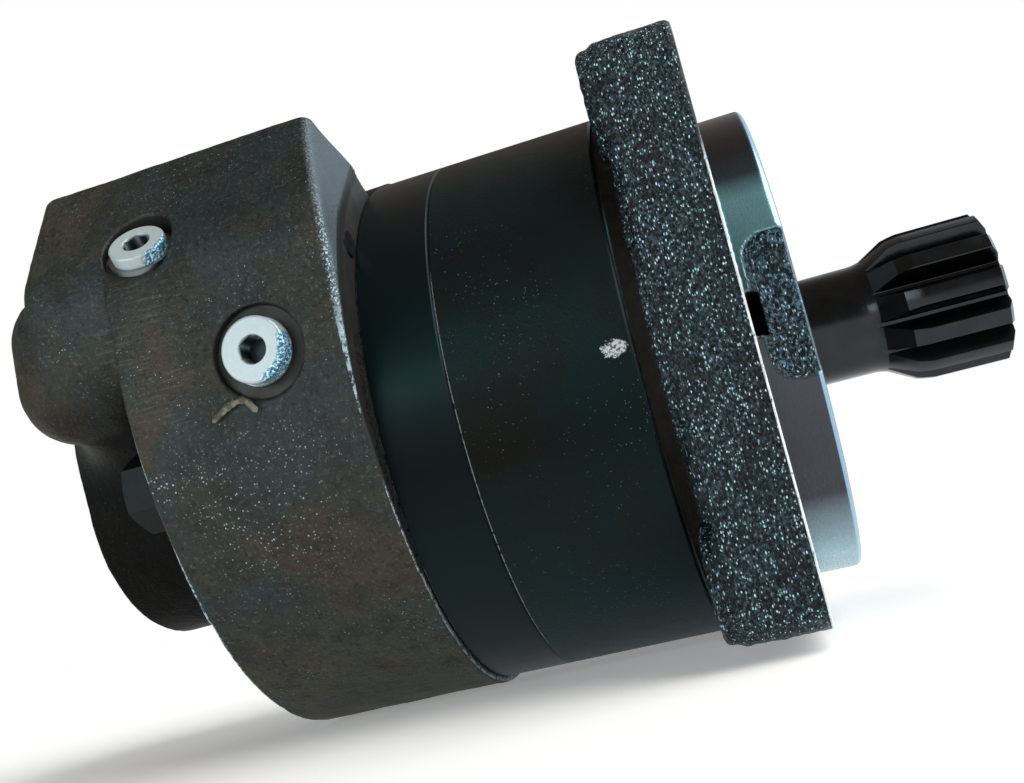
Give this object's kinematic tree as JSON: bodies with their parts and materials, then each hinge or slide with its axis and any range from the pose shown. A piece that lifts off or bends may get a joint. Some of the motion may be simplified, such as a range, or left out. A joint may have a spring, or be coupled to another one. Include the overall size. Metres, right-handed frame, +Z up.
{
  "type": "hydraulic motor",
  "caption": "Orbital hydraulic motor: splined output shaft, square four-bolt flange with pilot, geroler ring and rear valve housing with side port lobe.",
  "frame": {"origin": "on the shaft axis, at the flange's mounting face, where the pilot starts", "axes": "+X along the shaft axis out of the motor towards the splined end; +Z up with the port lobe above; -Y towards the flat side pad with the check plug"},
  "size_m": [0.2475, 0.1571, 0.1479],
  "materials": {
    "cast_black": "coarse sand-cast surface under gloss black, machined faces bare dark steel",
    "ring_black": "turned, satin black with a fine grain",
    "ring_steel": "smooth blue-black ground steel",
    "valve_cast": "grey-brown oiled cast iron with ground marks",
    "shaft_black": "dark hardened steel, machined",
    "bearing_steel": "ground bearing steel",
    "steel": "machined steel",
    "zinc": "bright zinc plate",
    "washer_zinc": "zinc plated washer",
    "bolt_black": "black oxide",
    "spring": "oil-tempered wire",
    "rubber": "black nitrile",
    "bronze": "leaded bronze wear face",
    "cage": "pressed steel"
  },
  "bodies": {
    "housing": {"mounting_flange": "cast_black", "bearing_housing": "ring_black", "geroler_ring": "ring_steel", "valve_housing": "valve_cast", "wear_plate": "bronze", "channel_plate": "steel", "channel_plate_dowels": "steel", "housing_bolts": "bolt_black", "bolt_washers": "bolt_black", "balance_plate": "steel", "balance_spring": "spring", "balance_seal": "rubber", "shaft_seal": "rubber", "dust_wiper": "rubber", "flange_face_seal": "rubber", "geroler_front_seal": "rubber", "geroler_rear_seal": "rubber", "passage_plug": "zinc", "drain_plug": "zinc", "drain_plug_washer": "washer_zinc", "side_check_plug": "zinc", "side_check_washer": "washer_zinc", "side_check_spring": "spring", "lobe_check_plug": "zinc", "lobe_check_washer": "washer_zinc", "lobe_check_spring": "spring", "front_bearing_cup": "bearing_steel", "rear_bearing_cup": "bearing_steel"},
    "shaft": {"output_shaft": "shaft_black", "front_bearing_cone": "bearing_steel", "rear_bearing_cone": "bearing_steel"},
    "front_bearing_set": {"front_bearing_rollers": "bearing_steel", "front_bearing_cage": "cage"},
    "rear_bearing_set": {"rear_bearing_rollers": "bearing_steel", "rear_bearing_cage": "cage"},
    "star_centre": {"drive_spacer": "steel"},
    "star": {"geroler_star": "steel"},
    "cardan": {"cardan_shaft": "shaft_black"},
    "valve_drive": {"valve_drive": "shaft_black"},
    "valve_disc": {"disc_valve": "steel"},
    "side_check": {"side_check_ball": "steel"},
    "lobe_check": {"lobe_check_ball": "steel"},
    "roller_1": {"geroler_roller_1": "bearing_steel"},
    "roller_2": {"geroler_roller_2": "bearing_steel"},
    "roller_3": {"geroler_roller_3": "bearing_steel"},
    "roller_4": {"geroler_roller_4": "bearing_steel"},
    "roller_5": {"geroler_roller_5": "bearing_steel"},
    "roller_6": {"geroler_roller_6": "bearing_steel"},
    "roller_7": {"geroler_roller_7": "bearing_steel"}
  },
  "joints": [
    {"name": "shaft_spin", "type": "hinge", "parent": "housing", "child": "shaft", "pos_m": [0, 0, 0], "axis": [1, 0, 0], "continuous": true},
    {"name": "front_bearing_roll", "type": "hinge", "parent": "housing", "child": "front_bearing_set", "pos_m": [-0.0145, 0, 0], "axis": [1, 0, 0], "continuous": true},
    {"name": "rear_bearing_roll", "type": "hinge", "parent": "housing", "child": "rear_bearing_set", "pos_m": [-0.052, 0, 0], "axis": [1, 0, 0], "continuous": true},
    {"name": "star_orbit", "type": "hinge", "parent": "housing", "child": "star_centre", "pos_m": [-0.0766, 0, 0], "axis": [1, 0, 0], "continuous": true},
    {"name": "star_spin", "type": "hinge", "parent": "star_centre", "child": "star", "pos_m": [-0.0766, 0, 0.0036], "axis": [1, 0, 0], "continuous": true},
    {"name": "cardan_spin", "type": "hinge", "parent": "star_centre", "child": "cardan", "pos_m": [-0.033, 0, 0], "axis": [0.9957, 0, -0.0924], "continuous": true},
    {"name": "valve_drive_spin", "type": "hinge", "parent": "star_centre", "child": "valve_drive", "pos_m": [-0.105, 0, 0], "axis": [0.9875, 0, 0.1573], "continuous": true},
    {"name": "valve_spin", "type": "hinge", "parent": "housing", "child": "valve_disc", "pos_m": [-0.104, 0, 0], "axis": [1, 0, 0], "continuous": true},
    {"name": "roller_1_spin", "type": "hinge", "parent": "housing", "child": "roller_1", "pos_m": [-0.07665, 0, 0.0385], "axis": [1, 0, 0], "continuous": true},
    {"name": "roller_2_spin", "type": "hinge", "parent": "housing", "child": "roller_2", "pos_m": [-0.07665, -0.0301, 0.024], "axis": [1, 0, 0], "continuous": true},
    {"name": "roller_3_spin", "type": "hinge", "parent": "housing", "child": "roller_3", "pos_m": [-0.07665, -0.03753, -0.00857], "axis": [1, 0, 0], "continuous": true},
    {"name": "roller_4_spin", "type": "hinge", "parent": "housing", "child": "roller_4", "pos_m": [-0.07665, -0.0167, -0.03469], "axis": [1, 0, 0], "continuous": true},
    {"name": "roller_5_spin", "type": "hinge", "parent": "housing", "child": "roller_5", "pos_m": [-0.07665, 0.0167, -0.03469], "axis": [1, 0, 0], "continuous": true},
    {"name": "roller_6_spin", "type": "hinge", "parent": "housing", "child": "roller_6", "pos_m": [-0.07665, 0.03753, -0.00857], "axis": [1, 0, 0], "continuous": true},
    {"name": "roller_7_spin", "type": "hinge", "parent": "housing", "child": "roller_7", "pos_m": [-0.07665, 0.0301, 0.024], "axis": [1, 0, 0], "continuous": true},
    {"name": "side_check_lift", "type": "slide", "parent": "housing", "child": "side_check", "axis": [0, -1, 0], "range_m": [0, 0.0015], "stiffness_N_per_m": 150, "springref_m": -0.004, "deforming": ["side_check_spring"]},
    {"name": "lobe_check_lift", "type": "slide", "parent": "housing", "child": "lobe_check", "axis": [0.1199, -0.7594, 0.6395], "range_m": [0, 0.0015], "stiffness_N_per_m": 150, "springref_m": -0.004, "deforming": ["lobe_check_spring"]}
  ],
  "couplings": [
    {"joint": "front_bearing_roll", "follows": "shaft_spin", "ratio": 0.4352},
    {"joint": "rear_bearing_roll", "follows": "shaft_spin", "ratio": 0.4447},
    {"joint": "star_orbit", "follows": "shaft_spin", "ratio": -6},
    {"joint": "star_spin", "follows": "shaft_spin", "ratio": 7},
    {"joint": "cardan_spin", "follows": "shaft_spin", "ratio": 7},
    {"joint": "valve_drive_spin", "follows": "shaft_spin", "ratio": 7},
    {"joint": "valve_spin", "follows": "shaft_spin", "ratio": 1}
  ]
}
